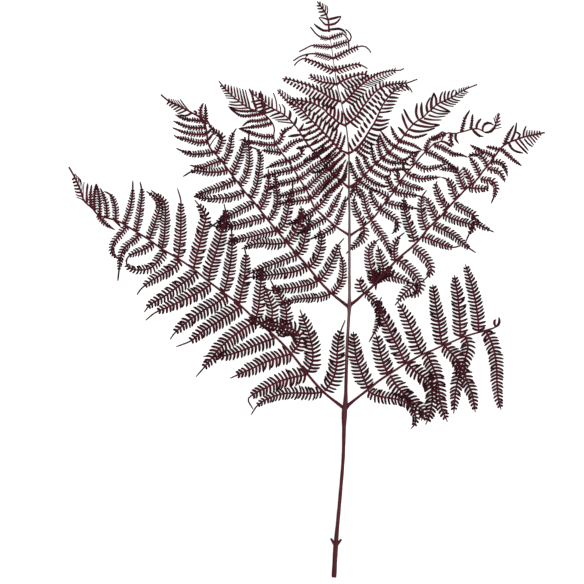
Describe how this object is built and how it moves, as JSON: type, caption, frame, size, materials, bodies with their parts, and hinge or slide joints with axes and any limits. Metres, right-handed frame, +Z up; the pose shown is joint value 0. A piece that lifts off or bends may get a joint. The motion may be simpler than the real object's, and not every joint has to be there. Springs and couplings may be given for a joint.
{
  "type": "bracken frond",
  "caption": "Pressed, dried bracken frond lying flat: cut stem, paired feathery leaflets and a thread-thin tip, dark burgundy to near black.",
  "frame": {"origin": "bottom centre of the box round the whole frond, on the surface it lies on", "axes": "+Y from the cut end of the stem to the tip of the frond, +Z up from the surface, +X to the right of the stem seen from above with the tip away"},
  "size_m": [0.4968, 0.6008, 0.0152],
  "materials": {
    "stem": "satin",
    "leaf": "matte"
  },
  "bodies": {
    "root": {"stem": "stem", "pinna_left_1": "leaf", "pinna_left_2": "leaf", "pinna_left_3": "leaf", "pinna_left_4": "leaf", "pinna_left_5": "leaf", "pinna_left_6": "leaf", "pinna_left_7": "leaf", "pinna_left_8": "leaf", "pinna_left_9": "leaf", "pinna_left_10": "leaf", "pinna_left_11": "leaf", "pinna_left_12": "leaf", "pinna_right_1": "leaf", "pinna_right_2": "leaf", "pinna_right_3": "leaf", "pinna_right_4": "leaf", "pinna_right_5": "leaf", "pinna_right_6": "leaf", "pinna_right_7": "leaf", "pinna_right_8": "leaf", "pinna_right_9": "leaf", "pinna_right_10": "leaf", "pinna_right_11": "leaf", "pinna_right_12": "leaf", "apex": "leaf"}
  },
  "joints": []
}
